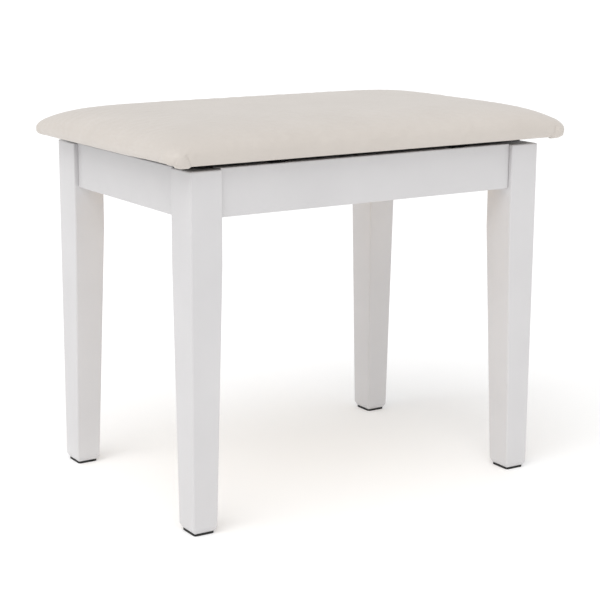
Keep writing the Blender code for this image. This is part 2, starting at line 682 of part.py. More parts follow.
def make_hinge(side, centre, back_rail, base_board, seat_board):
    """Butt hinge: one leaf on the back rail's outer face, one under the lid's base board."""
    fixed_indices = range(0, KNUCKLES, 2)
    moving_indices = range(1, KNUCKLES, 2)
    clearance = KNUCKLE_RADIUS + 3 * GAP
    low_x = centre - HINGE_LENGTH / 2
    high_x = centre + HINGE_LENGTH / 2
    leaf_front = BACK_RAIL_FACE + GAP
    fixed = box("hinge_fixed_leaf_" + side, (low_x, leaf_front, HINGE_Z - FIXED_LEAF_HEIGHT),
                (high_x, leaf_front + LEAF_THICKNESS, HINGE_Z))
    for index in moving_indices:
        start, end = knuckle_span(index, centre)
        cut(fixed, box("notch", (start - GAP, leaf_front - OVERRUN, HINGE_Z - clearance),
                       (end + GAP, leaf_front + OVERRUN, HINGE_Z + OVERRUN)))
    add_knuckles(fixed, centre, fixed_indices)
    moving = box("hinge_moving_leaf_" + side, (low_x, HINGE_Y - MOVING_LEAF_DEPTH, LEAF_BOTTOM),
                 (high_x, HINGE_Y, LEAF_TOP))
    for index in fixed_indices:
        start, end = knuckle_span(index, centre)
        cut(moving, box("notch", (start - GAP, HINGE_Y - clearance, LEAF_BOTTOM - OVERRUN),
                        (end + GAP, HINGE_Y + OVERRUN, LEAF_TOP + OVERRUN)))
    add_knuckles(moving, centre, moving_indices)
    pin_reach = HINGE_LENGTH / 2 - GAP
    rod("hinge_pin_" + side, HINGE_PIN_RADIUS, (centre - pin_reach, HINGE_Y, HINGE_Z),
        (centre + pin_reach, HINGE_Y, HINGE_Z))
    screw_z = HINGE_Z - LEAF_SCREW_DROP
    screw_y = HINGE_Y - LEAF_SCREW_INSET
    for place, offset in (("outer", LEAF_SCREW_SPACING / 2), ("inner", -LEAF_SCREW_SPACING / 2)):
        x = centre + math.copysign(offset, centre * offset)
        make_screw("hinge_rail_screw_%s_%s" % (side, place), (x, leaf_front + LEAF_THICKNESS, screw_z),
                   (0, -1, 0), HINGE_SCREW_LENGTH, (fixed, back_rail))
        make_screw("hinge_lid_screw_%s_%s" % (side, place), (x, screw_y, LEAF_BOTTOM),
                   (0, 0, 1), HINGE_SCREW_LENGTH, (moving, base_board, seat_board))


def track_point(distance, below=0.0):
    """A point of the stay's track in (y, z), at a distance from the hinge line and below the slot."""
    y = HINGE_Y - distance * math.cos(STAY_TRACK_DROP) + below * math.sin(STAY_TRACK_DROP)
    z = HINGE_Z - distance * math.sin(STAY_TRACK_DROP) - below * math.cos(STAY_TRACK_DROP)
    return y, z


def make_stay(right_rail, base_board):
    """Slotted stay: an arm on the right rail whose pin slides in a track under the lid."""
    closed_angle = STAY_PIVOT_DROP - STAY_TRACK_DROP
    far = 2 * STAY_ARM_LENGTH * math.cos(closed_angle) + SLOT_SPARE
    near = 2 * STAY_ARM_LENGTH * math.cos(closed_angle + LID_OPENING) - SLOT_SPARE
    spacer_outer = RIGHT_RAIL_INNER - GAP
    arm_outer = spacer_outer - STAY_SPACER - GAP
    arm_inner = arm_outer - STAY_PLATE
    head_inner = arm_inner - GAP - STAY_HEAD_THICKNESS
    track_outer = head_inner - 2 * GAP
    track_inner = track_outer - STAY_PLATE

    pivot = (STAY_PIVOT_Y, STAY_PIVOT_Z)
    pin = (STAY_PIN_Y, STAY_PIVOT_Z)
    arm = prism("stay_arm", stadium(pivot, pin, STAY_ARM_HALF_WIDTH), "X", arm_inner, arm_outer)
    pivot_hole = STAY_PIVOT_RADIUS + GAP
    pin_hole = STAY_PIN_RADIUS + GAP
    cut(arm, rod("hole", pivot_hole, (arm_inner - OVERRUN, *pivot), (arm_outer + OVERRUN, *pivot)))
    cut(arm, rod("hole", pin_hole, (arm_inner - OVERRUN, *pin), (arm_outer + OVERRUN, *pin)))

    ring = [(pivot_hole, 0), (STAY_SPACER_RADIUS, 0), (STAY_SPACER_RADIUS, STAY_SPACER),
            (pivot_hole, STAY_SPACER)]
    turned("stay_spacer", ring, (spacer_outer - STAY_SPACER, *pivot), (1, 0, 0), "steel", ROUND_SIDES)

    head_end = STAY_HEAD_THICKNESS
    profile = [(0, 0), (STAY_PIVOT_HEAD, 0), (STAY_PIVOT_HEAD, head_end), (STAY_PIVOT_RADIUS, head_end),
               (STAY_PIVOT_RADIUS, STAY_PIVOT_LENGTH), (0, STAY_PIVOT_LENGTH)]
    turned("stay_pivot_screw", profile, (head_inner, *pivot), (1, 0, 0))
    cut(right_rail, rod("hole", pivot_hole, (RIGHT_RAIL_INNER - OVERRUN, *pivot),
                        (head_inner + STAY_PIVOT_LENGTH + GAP, *pivot)))

    pin_head = track_inner - GAP - STAY_HEAD_THICKNESS
    rivet_start = arm_outer + GAP - pin_head
    rivet_end = rivet_start + STAY_SPACER / 2
    profile = [(0, 0), (STAY_PIN_HEAD, 0), (STAY_PIN_HEAD, head_end), (STAY_PIN_RADIUS, head_end),
               (STAY_PIN_RADIUS, rivet_start), (STAY_PIN_RIVET, rivet_start), (STAY_PIN_RIVET, rivet_end),
               (0, rivet_end)]
    turned("stay_slide_pin", profile, (pin_head, *pin), (1, 0, 0))

    rim = SLOT_HALF_WIDTH + TRACK_RIM
    front_y, front_z = track_point(far + rim, rim)
    back_y, back_z = track_point(near - rim, rim)
    outline = ((front_y, LEAF_TOP), (front_y, front_z), (back_y, back_z), (back_y, LEAF_TOP))
    track = prism("stay_track", outline, "X", track_inner, track_outer)
    flange_inner = track_outer - TRACK_FLANGE
    unite(track, box("flange", (flange_inner, front_y, LEAF_BOTTOM), (track_outer - GAP, back_y, LEAF_TOP)))
    slot = stadium(track_point(near), track_point(far), SLOT_HALF_WIDTH)
    cut(track, prism("slot", slot, "X", track_inner - OVERRUN, track_outer + OVERRUN))
    screw_x = (flange_inner + track_inner) / 2
    for place, y in (("front", front_y + TRACK_SCREW_MARGIN), ("back", back_y - TRACK_SCREW_MARGIN)):
        make_screw("stay_track_screw_" + place, (screw_x, y, LEAF_BOTTOM), (0, 0, 1), TRACK_SCREW_LENGTH,
                   (track, base_board))


def parent_to_axis(axis_name, place, names):
    """Parent pieces to an empty on their joint's axis, without moving them."""
    axis = bpy.data.objects.new(axis_name, None)
    axis.location = place
    bpy.context.collection.objects.link(axis)
    bpy.context.view_layer.update()
    for name in names:
        piece = bpy.data.objects[name]
        piece.parent = axis
        piece.matrix_parent_inverse = axis.matrix_world.inverted()


def centre_on_seat():
    """Move the whole bench so that the origin is under the middle of the seat."""
    for obj in bpy.data.objects:
        if obj.parent is None:
            obj.location.x -= SEAT_SHIFT


def build_bench():
    clear_scene()
    for corner in CORNERS:
        make_leg(corner)
        make_glide(corner)
        make_corner_block(corner)
        make_corner_bolt(corner)
        make_bumper(corner)
    make_long_rail("rail_front", -1, FRONT_RAIL_RISE)
    back_rail = make_long_rail("rail_back", 1, 0.0)
    make_short_rail("rail_left", -1)
    right_rail = make_short_rail("rail_right", 1)
    make_compartment_floor()
    make_seat_cover()
    make_seat_foam()
    base_board, seat_board = make_boards()
    make_hinge("left", -HINGE_PLACE_X, back_rail, base_board, seat_board)
    make_hinge("right", HINGE_PLACE_X, back_rail, base_board, seat_board)
    make_stay(right_rail, base_board)
    moving = ("seat_", "lid_", "hinge_moving_leaf_", "hinge_pin_", "hinge_lid_screw_", "stay_track")
    lid_names = [obj.name for obj in bpy.data.objects if obj.name.startswith(moving)]
    parent_to_axis("lid_hinge_axis", (0, HINGE_Y, HINGE_Z), lid_names)
    arm_middle = RIGHT_RAIL_INNER - STAY_SPACER
    arm_names = ["stay_arm", "stay_slide_pin"]
    parent_to_axis("stay_pivot_axis", (arm_middle, STAY_PIVOT_Y, STAY_PIVOT_Z), arm_names)
    centre_on_seat()


build_bench()
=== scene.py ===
"""Looks of the piano bench: upholstery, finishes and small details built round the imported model.

Units are metres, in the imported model's frame: the floor is at z = 0, +X runs along the seat and -Y is the
front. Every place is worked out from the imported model's own pieces.
"""

import math
import random

import bmesh
import bpy
import numpy as np
from mathutils import Matrix, Vector


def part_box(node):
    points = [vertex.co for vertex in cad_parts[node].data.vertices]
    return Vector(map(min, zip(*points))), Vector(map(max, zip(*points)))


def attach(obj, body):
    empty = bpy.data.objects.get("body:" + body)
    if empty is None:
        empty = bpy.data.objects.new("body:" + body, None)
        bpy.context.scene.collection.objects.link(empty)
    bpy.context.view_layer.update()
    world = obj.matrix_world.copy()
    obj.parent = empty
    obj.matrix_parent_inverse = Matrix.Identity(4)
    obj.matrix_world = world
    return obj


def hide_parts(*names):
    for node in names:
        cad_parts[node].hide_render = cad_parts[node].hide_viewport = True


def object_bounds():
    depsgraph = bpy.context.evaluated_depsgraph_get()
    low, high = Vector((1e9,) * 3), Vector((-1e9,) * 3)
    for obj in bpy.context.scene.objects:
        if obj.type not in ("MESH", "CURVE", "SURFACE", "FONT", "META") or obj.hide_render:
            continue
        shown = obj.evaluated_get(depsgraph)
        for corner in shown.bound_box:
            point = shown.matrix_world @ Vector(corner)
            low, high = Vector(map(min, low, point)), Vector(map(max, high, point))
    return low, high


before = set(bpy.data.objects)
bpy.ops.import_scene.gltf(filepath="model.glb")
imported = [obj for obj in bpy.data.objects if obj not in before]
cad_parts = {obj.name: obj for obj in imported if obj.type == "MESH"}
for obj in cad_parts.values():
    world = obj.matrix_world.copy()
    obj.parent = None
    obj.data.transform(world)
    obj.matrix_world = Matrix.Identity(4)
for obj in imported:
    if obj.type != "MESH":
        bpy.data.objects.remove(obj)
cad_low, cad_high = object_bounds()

# Upholstered seat
CELLS_X = 120
CELLS_Y = 84
CROWDING = 1.8  # above 1, the grid is finer towards the seat's edges
CORNER_RADIUS = 0.020
ARC_LENGTH = CORNER_RADIUS * math.pi / 2
CROWN_POWER_X = 7.9
CROWN_POWER_Y = 5.1
CROWN_ROUNDNESS = 2.25
BULGE_ABOVE_HEM = 0.0085  # the seat is widest this far above its hem
HEM_INSET = 0.0085
HEM_TURN_UNDER = 0.0135
HEM_THICKNESS = 0.0012
HEM_WAVE = 0.00035
FRONT_HEM_DROP = 0.0020
END_HEM_RISE = 0.0012
BOARD_RECESS = 0.0008  # the board's underside lies this far above the turned hem
SWELL_START = 0.0010  # the pad starts this much smaller, and the simulated pressure fills it
SWELL_LIMIT = 0.0025
SWELL_FRAMES = 20
BAND_SHARES = (0.2, 0.4, 0.6, 0.8, 1.0)

# Folds at the seat's corners, measured along the outline and up from the hem
FOLD_PAST_ARC = 0.0100
FOLD_WIDTH = 0.0011
FOLD_DEPTH = 0.0012
KNOT_PAST_ARC = 0.0040
KNOT_HEIGHT = 0.0112
KNOT_RADIUS = 0.0026
TUCK_SHARE = 0.56  # how far round the corner's arc the second fold lies
TUCK_LEAN = 0.0040
TUCK_HEIGHT = 0.0080
TUCK_WIDTH = 0.0010
TUCK_DEPTH = 0.0008
BULB_SIZE = 0.0006
RIDGE_HEIGHT = 0.0003
RIDGE_WIDTH = 0.0016
RIDGE_SHARES = (0.15, 0.5, 0.85)
TAB_DROP = 0.0018

# Staples under the hem
STAPLE_SPACING = 0.028
STAPLE_INSET = HEM_INSET + 0.0085
STAPLE_CORNER_ROOM = 0.020
STAPLE_HALF_WIDTH = 0.0050
STAPLE_BEND = 0.0006
STAPLE_WIRE = 0.00035
STAPLE_PROUD = 0.0004
STAPLE_SIDES = 6

# Studio
LENS = 97.35
SHIFT_X = 0.067
CAMERA_PLACE = (-1.1465, -1.7782, 0.7023)
CAMERA_HEADING = math.radians(31.40)
CAMERA_TILT = math.radians(12.66)
SKY_STRENGTH = 0.76
FLOOR_GLOW = 0.11
SUN_STRENGTH = 1.18
SUN_SPREAD = math.radians(55)
SUN_FROM = (-0.50, -0.28, 0.82)
FLOOR_SIZE = 40.0


# ---------------------------------------------------------------- materials

class Shader:
    """A material's node tree with short calls for the nodes that the finishes use."""

    def __init__(self, name, roughness=0.5, metallic=0.0, **sockets):
        self.material = bpy.data.materials.new(name)
        self.material.use_nodes = True
        self.tree = self.material.node_tree
        self.surface = self.tree.nodes["Principled BSDF"]
        self.surface.inputs["Roughness"].default_value = roughness
        self.surface.inputs["Metallic"].default_value = metallic
        for socket, value in sockets.items():
            self.surface.inputs[socket.replace("_", " ")].default_value = value
        self.place = self.node("ShaderNodeTexCoord").outputs["Object"]

    def node(self, kind, **inputs):
        made = self.tree.nodes.new(kind)
        for socket, value in inputs.items():
            self.plug(made.inputs[socket.replace("_", " ")], value)
        return made

    def plug(self, socket, value):
        if isinstance(value, bpy.types.NodeSocket):
            self.tree.links.new(value, socket)
        else:
            socket.default_value = value

    def stretched(self, scale):
        """Coordinates scaled by different amounts along X, Y and Z."""
        mapping = self.node("ShaderNodeMapping", Vector=self.place)
        mapping.inputs["Scale"].default_value = scale
        return mapping.outputs["Vector"]

    def noise(self, scale, detail=3.0, roughness=0.5, where=None, distortion=0.0):
        made = self.node("ShaderNodeTexNoise", Vector=where or self.place, Scale=scale, Detail=detail,
                         Roughness=roughness, Distortion=distortion)
        return made.outputs["Fac"]

    def cells(self, scale, feature="F1", where=None):
        made = self.node("ShaderNodeTexVoronoi", Vector=where or self.place, Scale=scale)
        made.feature = feature
        return made.outputs["Distance"]

    def ramp(self, factor, stops):
        """Map a factor through (position, value) stops. A value is a number or a colour."""
        made = self.node("ShaderNodeValToRGB", Fac=factor)
        ramp = made.color_ramp
        while len(ramp.elements) < len(stops):
            ramp.elements.new(0.5)
        for element, (position, value) in zip(ramp.elements, stops):
            element.position = position
            colour = (value, value, value) if isinstance(value, float) else value
            element.color = (*colour, 1.0)
        return made.outputs["Color"]

    def math(self, operation, a, b):
        made = self.node("ShaderNodeMath")
        made.operation = operation
        self.plug(made.inputs[0], a)
        self.plug(made.inputs[1], b)
        return made.outputs["Value"]

    def bump(self, height, distance, strength=1.0, under=None):
        made = self.node("ShaderNodeBump", Height=height, Distance=distance, Strength=strength)
        if under is not None:
            self.tree.links.new(under, made.inputs["Normal"])
        return made.outputs["Normal"]

    def finish(self, colour=None, roughness=None, normal=None):
        for socket, value in (("Base Color", colour), ("Roughness", roughness), ("Normal", normal)):
            if value is not None:
                self.tree.links.new(value, self.surface.inputs[socket])
        return self.material


def grain_scale(axis, across, along):
    """Texture scale for grain that runs along one axis."""
    return tuple(along if i == "XYZ".index(axis) else across for i in range(3))


def painted_wood(name, axis):
    """Satin white lacquer: a fine orange peel over faint wood grain that runs along one axis."""
    shader = Shader(name, Coat_Weight=0.12, Coat_Roughness=0.22, Specular_IOR_Level=0.45)
    grain = shader.noise(1.0, 4.0, 0.6, shader.stretched(grain_scale(axis, 260.0, 7.0)), 0.6)
    peel = shader.noise(850.0, 2.0, 0.5)
    patches = shader.noise(9.0, 3.0, 0.5)
    colour = shader.ramp(patches, ((0.30, (0.640, 0.630, 0.636)), (0.70, (0.675, 0.665, 0.671))))
    gloss = shader.ramp(grain, ((0.30, 0.34), (0.70, 0.43)))
    normal = shader.bump(grain, 0.00012, 0.5)
    normal = shader.bump(peel, 0.00005, 0.5, under=normal)
    return shader.finish(colour, gloss, normal)


def leatherette():
    """Matt off-white leatherette: small pebbles of uneven size with fine creases between them."""
    shader = Shader("leatherette_look", Specular_IOR_Level=0.5, Sheen_Weight=0.25, Sheen_Roughness=0.45)
    pebbles = shader.cells(780.0, "SMOOTH_F1")
    creases = shader.cells(430.0, "DISTANCE_TO_EDGE")
    pores = shader.noise(1900.0, 2.0, 0.6)
    clouds = shader.noise(14.0, 4.0, 0.55)
    colour = shader.ramp(clouds, ((0.30, (0.600, 0.552, 0.506)), (0.70, (0.630, 0.582, 0.536))))
    gloss = shader.ramp(pores, ((0.25, 0.42), (0.75, 0.54)))
    normal = shader.bump(shader.noise(55.0, 4.0, 0.6), 0.0006, 0.18)
    normal = shader.bump(pebbles, 0.00022, 0.30, under=normal)
    edges = shader.ramp(creases, ((0.0, 0.0), (0.12, 1.0)))
    normal = shader.bump(edges, 0.00010, 0.35, under=normal)
    normal = shader.bump(pores, 0.00006, 0.35, under=normal)
    return shader.finish(colour, gloss, normal)


def black_board():
    """Board stained black, with grain along the seat."""
    shader = Shader("black_board_look", Specular_IOR_Level=0.3)
    grain = shader.noise(1.0, 5.0, 0.6, shader.stretched((6.0, 340.0, 60.0)), 0.4)
    colour = shader.ramp(grain, ((0.25, (0.006, 0.006, 0.006)), (0.75, (0.016, 0.015, 0.014))))
    gloss = shader.ramp(grain, ((0.25, 0.55), (0.75, 0.72)))
    return shader.finish(colour, gloss, shader.bump(grain, 0.00015, 0.5))


def rubber(name, colour_low, colour_high):
    """Black rubber with a little dust in its pores."""
    shader = Shader(name, Specular_IOR_Level=0.4)
    dust = shader.noise(420.0, 4.0, 0.65)
    colour = shader.ramp(dust, ((0.30, colour_low), (0.75, colour_high)))
    gloss = shader.ramp(dust, ((0.25, 0.55), (0.75, 0.80)))
    return shader.finish(colour, gloss, shader.bump(shader.noise(1500.0, 2.0, 0.5), 0.00008, 0.6))


def steel():
    """Zinc-plated steel with drawn scratches and cloudy plating."""
    shader = Shader("steel_look", metallic=1.0)
    clouds = shader.noise(120.0, 4.0, 0.6)
    scratches = shader.noise(1.0, 4.0, 0.7, shader.stretched((60.0, 2400.0, 2400.0)))
    colour = shader.ramp(clouds, ((0.30, (0.50, 0.50, 0.52)), (0.70, (0.66, 0.67, 0.69))))
    gloss = shader.ramp(scratches, ((0.25, 0.24), (0.75, 0.42)))
    return shader.finish(colour, gloss, shader.bump(scratches, 0.00004, 0.5))


def plywood():
    """Sanded birch face with fine flecks."""
    shader = Shader("plywood_look", Specular_IOR_Level=0.3)
    grain = shader.noise(1.0, 6.0, 0.65, shader.stretched((5.0, 95.0, 5.0)), 1.2)
    flecks = shader.noise(1.0, 3.0, 0.6, shader.stretched((60.0, 900.0, 60.0)))
    tones = ((0.25, (0.52, 0.37, 0.22)), (0.50, (0.64, 0.49, 0.32)), (0.80, (0.72, 0.58, 0.41)))
    face = shader.ramp(grain, tones)
    gloss = shader.ramp(flecks, ((0.25, 0.52), (0.75, 0.70)))
    height = shader.math("ADD", grain, flecks)
    return shader.finish(face, gloss, shader.bump(height, 0.00010, 0.4))


def bare_wood():
    """Sawn softwood blocks with upright rings."""
    shader = Shader("bare_wood_look", Specular_IOR_Level=0.3)
    rings = shader.noise(1.0, 5.0, 0.6, shader.stretched((140.0, 140.0, 9.0)), 1.5)
    tones = ((0.25, (0.47, 0.31, 0.17)), (0.50, (0.62, 0.45, 0.28)), (0.80, (0.71, 0.55, 0.37)))
    colour = shader.ramp(rings, tones)
    gloss = shader.ramp(rings, ((0.25, 0.60), (0.75, 0.78)))
    saw = shader.noise(1.0, 2.0, 0.5, shader.stretched((900.0, 900.0, 40.0)))
    return shader.finish(colour, gloss, shader.bump(saw, 0.00020, 0.5))


def studio_floor():
    """White seamless paper, lit so that it reads as plain white."""
    white = (1.0, 1.0, 1.0, 1.0)
    shader = Shader("studio_floor", roughness=0.8, Specular_IOR_Level=0.0, Emission_Color=white)
    shader.surface.inputs["Emission Strength"].default_value = FLOOR_GLOW
    clouds = shader.noise(0.8, 2.0, 0.5)
    colour = shader.ramp(clouds, ((0.3, (0.93, 0.93, 0.93)), (0.7, (0.95, 0.95, 0.95))))
    return shader.finish(colour)


def dress(material, *starts):
    """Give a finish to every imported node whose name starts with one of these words."""
    for name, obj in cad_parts.items():
        if name.startswith(starts):
            obj.data.materials.clear()
            obj.data.materials.append(material)


# ---------------------------------------------------------------- geometry helpers

def new_piece(name, bm, material, body):
    """A smooth mesh object that rides on one body of the frame."""
    mesh = bpy.data.meshes.new(name)
    bm.to_mesh(mesh)
    bm.free()
    mesh.materials.append(material)
    mesh.shade_smooth()
    obj = bpy.data.objects.new(name, mesh)
    bpy.context.scene.collection.objects.link(obj)
    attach(obj, body)
    return obj


def bake(obj):
    """Apply the object's modifiers."""
    depsgraph = bpy.context.evaluated_depsgraph_get()
    mesh = bpy.data.meshes.new_from_object(obj.evaluated_get(depsgraph))
    obj.modifiers.clear()
    obj.data = mesh


def smoothstep(low, high, value):
    """0 at one bound, 1 at the other, with an even start and end. The bounds may fall."""
    t = np.clip((value - low) / (high - low), 0.0, 1.0)
    return t * t * (3 - 2 * t)


# ---------------------------------------------------------------- upholstered seat

def crowded(count):
    """Grid lines from -1 to 1, closer together towards both ends."""
    t = np.linspace(-1, 1, count + 1)
    return np.sign(t) * (1 - (1 - np.abs(t)) ** CROWDING)


def round_corners(x, y, half_x, half_y, radius):
    """Pull the corners of a rectangle in to quarter circles."""
    over_x = np.maximum(np.abs(x) - (half_x - radius), 0.0)
    over_y = np.maximum(np.abs(y) - (half_y - radius), 0.0)
    new_x = over_x * np.sqrt(1 - over_y ** 2 / (2 * radius ** 2))
    new_y = over_y * np.sqrt(1 - over_x ** 2 / (2 * radius ** 2))
    return np.sign(x) * (np.abs(x) - over_x + new_x), np.sign(y) * (np.abs(y) - over_y + new_y)


def flat_grid(half_x, half_y, radius, z):
    """A level grid of points that fills a rounded rectangle."""
    u, v = np.meshgrid(crowded(CELLS_X), crowded(CELLS_Y), indexing="ij")
    x, y = round_corners(u * half_x, v * half_y, half_x, half_y, radius)
    return np.stack([x, y, np.full_like(x, z)], axis=-1)


def crown_grid(half_x, half_y, z, rise):
    """The pad's crown: almost flat in the middle, and rolled down to its edges."""
    grid = flat_grid(half_x, half_y, CORNER_RADIUS, z)
    u, v = np.meshgrid(crowded(CELLS_X), crowded(CELLS_Y), indexing="ij")
    share_x = np.maximum(1 - np.abs(u) ** CROWN_POWER_X, 0.0) ** (1 / CROWN_ROUNDNESS)
    share_y = np.maximum(1 - np.abs(v) ** CROWN_POWER_Y, 0.0) ** (1 / CROWN_ROUNDNESS)
    grid[..., 2] += rise * share_x * share_y
    return grid


def rim(grid):
    """A grid's outline once round: its points, and their places in the grid."""
    order = [(i, 0) for i in range(CELLS_X)]
    order += [(CELLS_X, j) for j in range(CELLS_Y)]
    order += [(CELLS_X - i, CELLS_Y) for i in range(CELLS_X)]
    order += [(0, CELLS_Y - j) for j in range(CELLS_Y)]
    return np.array([grid[i, j] for i, j in order]), order


def pad_points(shrink):
    """Top grid, loops down the side and under the hem, and bottom grid, for a pad this much too small."""
    low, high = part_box("seat_cover")
    half_x = (high.x - low.x) / 2
    half_y = (high.y - low.y) / 2
    bulge = low.z + BULGE_ABOVE_HEM
    top = crown_grid(half_x - shrink, half_y - shrink, bulge, high.z - bulge - shrink)
    loops = []
    for share in BAND_SHARES:
        inset = HEM_INSET * (1 - math.cos(share * math.pi / 2)) + shrink * (1 - share)
        z = bulge - BULGE_ABOVE_HEM * math.sin(share * math.pi / 2)
        radius = CORNER_RADIUS - HEM_INSET * share
        loops.append(rim(flat_grid(half_x - inset, half_y - inset, radius, z))[0])
    hem_reach = HEM_INSET + HEM_TURN_UNDER
    board_z = low.z + HEM_THICKNESS + BOARD_RECESS
    hem_outline = (
        (HEM_INSET + 0.0015, low.z),
        (hem_reach - 0.001, low.z),
        (hem_reach, low.z + HEM_THICKNESS / 2),
        (hem_reach, board_z),
    )
    for inset, z in hem_outline:
        loops.append(rim(flat_grid(half_x - inset, half_y - inset, 0.006, z))[0])
    inset = hem_reach + 0.002
    bottom = flat_grid(half_x - inset, half_y - inset, 0.005, board_z)
    return top, loops, bottom


def pad_mesh(top, loops, bottom):
    """One closed skin: the top grid, the loops down the side, and the bottom grid facing down."""
    bm = bmesh.new()
    grids = []
    for grid in (top, bottom):
        grids.append([[bm.verts.new(point) for point in column] for column in grid])
    upper_side, lower_side = grids
    for i in range(CELLS_X):
        for j in range(CELLS_Y):
            round_cell = ((i, j), (i + 1, j), (i + 1, j + 1), (i, j + 1))
            round_back = ((i, j), (i, j + 1), (i + 1, j + 1), (i + 1, j))
            bm.faces.new([upper_side[a][b] for a, b in round_cell])
            bm.faces.new([lower_side[a][b] for a, b in round_back])
    order = rim(top)[1]
    rings = [[upper_side[i][j] for i, j in order]]
    rings += [[bm.verts.new(point) for point in loop] for loop in loops]
    rings.append([lower_side[i][j] for i, j in order])
    for upper, lower in zip(rings, rings[1:]):
        for i in range(len(order)):
            j = (i + 1) % len(order)
            bm.faces.new((upper[i], lower[i], lower[j], upper[j]))
    return bm


def read_points(mesh):
    points = np.zeros(len(mesh.vertices) * 3, np.float32)
    mesh.vertices.foreach_get("co", points)
    return points.reshape(-1, 3).astype(float)


def write_points(mesh, points):
    mesh.vertices.foreach_set("co", points.astype(np.float32).ravel())
    mesh.update()


def corner_places(points):
    """Where each point lies round the seat's corners.

    Returns the distance along the outline from where the corner's arc leaves the seat's end, the distance in
    from the outline, and the angle round the arc. The arc runs from 0 to ARC_LENGTH, on the front or back.
    """
    low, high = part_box("seat_cover")
    out_x = np.abs(points[:, 0]) - ((high.x - low.x) / 2 - CORNER_RADIUS)
    out_y = np.abs(points[:, 1]) - ((high.y - low.y) / 2 - CORNER_RADIUS)
    angle = np.arctan2(np.maximum(out_y, 0), np.maximum(out_x, 1e-9))
    along = CORNER_RADIUS * angle
    along = np.where(out_y < 0, out_y, along)
    along = np.where((out_x < 0) & (out_y > out_x), ARC_LENGTH - out_x, along)
    radius = np.hypot(np.maximum(out_x, 0), np.maximum(out_y, 0))
    return along, CORNER_RADIUS - radius, angle


def cloth_hold(points):
    """How firmly the foam and the board hold each point of the cover, from 0 to 1."""
    low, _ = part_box("seat_cover")
    height = points[:, 2] - low.z
    along, _, _ = corner_places(points)
    nearness = np.exp(-((along - ARC_LENGTH / 2) / 0.035) ** 2)
    side = smoothstep(0.030, 0.012, height)
    hold = 0.42 - 0.34 * nearness * side
    return np.where(height < 0.0012, 1.0, hold)


def swell(pad):
    """Fill the cover by cloth simulation, held at the hem, and cap how far any point moves."""
    start = read_points(pad.data)
    hold = cloth_hold(start)
    pins = pad.vertex_groups.new(name="pins")
    for index, weight in enumerate(hold):
        pins.add([index], float(weight), "REPLACE")
    cloth = pad.modifiers.new("cloth", "CLOTH")
    settings = cloth.settings
    settings.quality = 6
    settings.mass = 0.35
    settings.tension_stiffness = 25
    settings.compression_stiffness = 25
    settings.shear_stiffness = 12
    settings.bending_stiffness = 1.5
    settings.use_pressure = True
    settings.uniform_pressure_force = 4.0
    settings.effector_weights.gravity = 0.0
    settings.vertex_group_mass = "pins"
    settings.pin_stiffness = 1.0
    settings.shrink_min = -0.012
    cloth.collision_settings.use_collision = False
    scene = bpy.context.scene
    cloth.point_cache.frame_start = 1
    cloth.point_cache.frame_end = SWELL_FRAMES
    for number in range(1, SWELL_FRAMES + 1):
        scene.frame_set(number)
    bake(pad)
    scene.frame_set(1)
    moved = read_points(pad.data) - start
    length = np.linalg.norm(moved, axis=1, keepdims=True)
    moved *= SWELL_LIMIT * np.tanh(length / SWELL_LIMIT) / np.maximum(length, 1e-9)
    write_points(pad.data, start + moved)


def pleat(along, height, start, end, width, depth):
    """A fold between two (along, height) places: a groove with a raised lip on one side.

    Returns how far the cover goes in.
    """
    run_a = end[0] - start[0]
    run_h = end[1] - start[1]
    length = math.hypot(run_a, run_h)
    share = ((along - start[0]) * run_a + (height - start[1]) * run_h) / length ** 2
    across = ((along - start[0]) * run_h - (height - start[1]) * run_a) / length
    fade = smoothstep(1.15, 0.75, share) * smoothstep(-1.2, -0.2, share)
    groove = np.exp(-(across / width) ** 2)
    lip = 0.55 * np.exp(-((across + 2.1 * width) / (1.6 * width)) ** 2)
    return depth * (groove - lip) * fade


def gather_corners(pad):
    """Fold the cover where it is pulled round the seat's corners and stapled under the board."""
    low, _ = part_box("seat_cover")
    rng = random.Random(11)
    points = read_points(pad.data)
    along, inside, angle = corner_places(points)
    height = points[:, 2] - low.z
    under = np.clip(inside - HEM_INSET, 0.0, 0.02) * (height < 0.003)
    height = np.where(height < 0.003, -under, height)
    unit = np.stack([np.sign(points[:, 0]) * np.cos(angle), np.sign(points[:, 1]) * np.sin(angle)], axis=-1)
    for side_x in (-1, 1):
        for side_y in (-1, 1):
            here = (points[:, 0] * side_x > 0) & (points[:, 1] * side_y > 0)
            shift = rng.uniform(-0.0012, 0.0012)
            fold = ARC_LENGTH + FOLD_PAST_ARC + shift
            knot = (ARC_LENGTH + KNOT_PAST_ARC + shift, KNOT_HEIGHT + rng.uniform(-0.0010, 0.0010))
            tuck = TUCK_SHARE * ARC_LENGTH + shift
            inward = np.where(here, corner_folds(along, height, fold, knot, tuck), 0.0)
            points[:, :2] -= unit * inward[:, None] * smoothstep(-0.006, -0.001, height)[:, None]
            tab = smoothstep(tuck - 0.0015, tuck + 0.0010, along)
            tab = tab * smoothstep(fold + 0.0010, fold - 0.0015, along)
            drop = TAB_DROP * tab * smoothstep(0.008, 0.0, np.abs(height)) * here
            points[:, 2] -= drop
    write_points(pad.data, points)


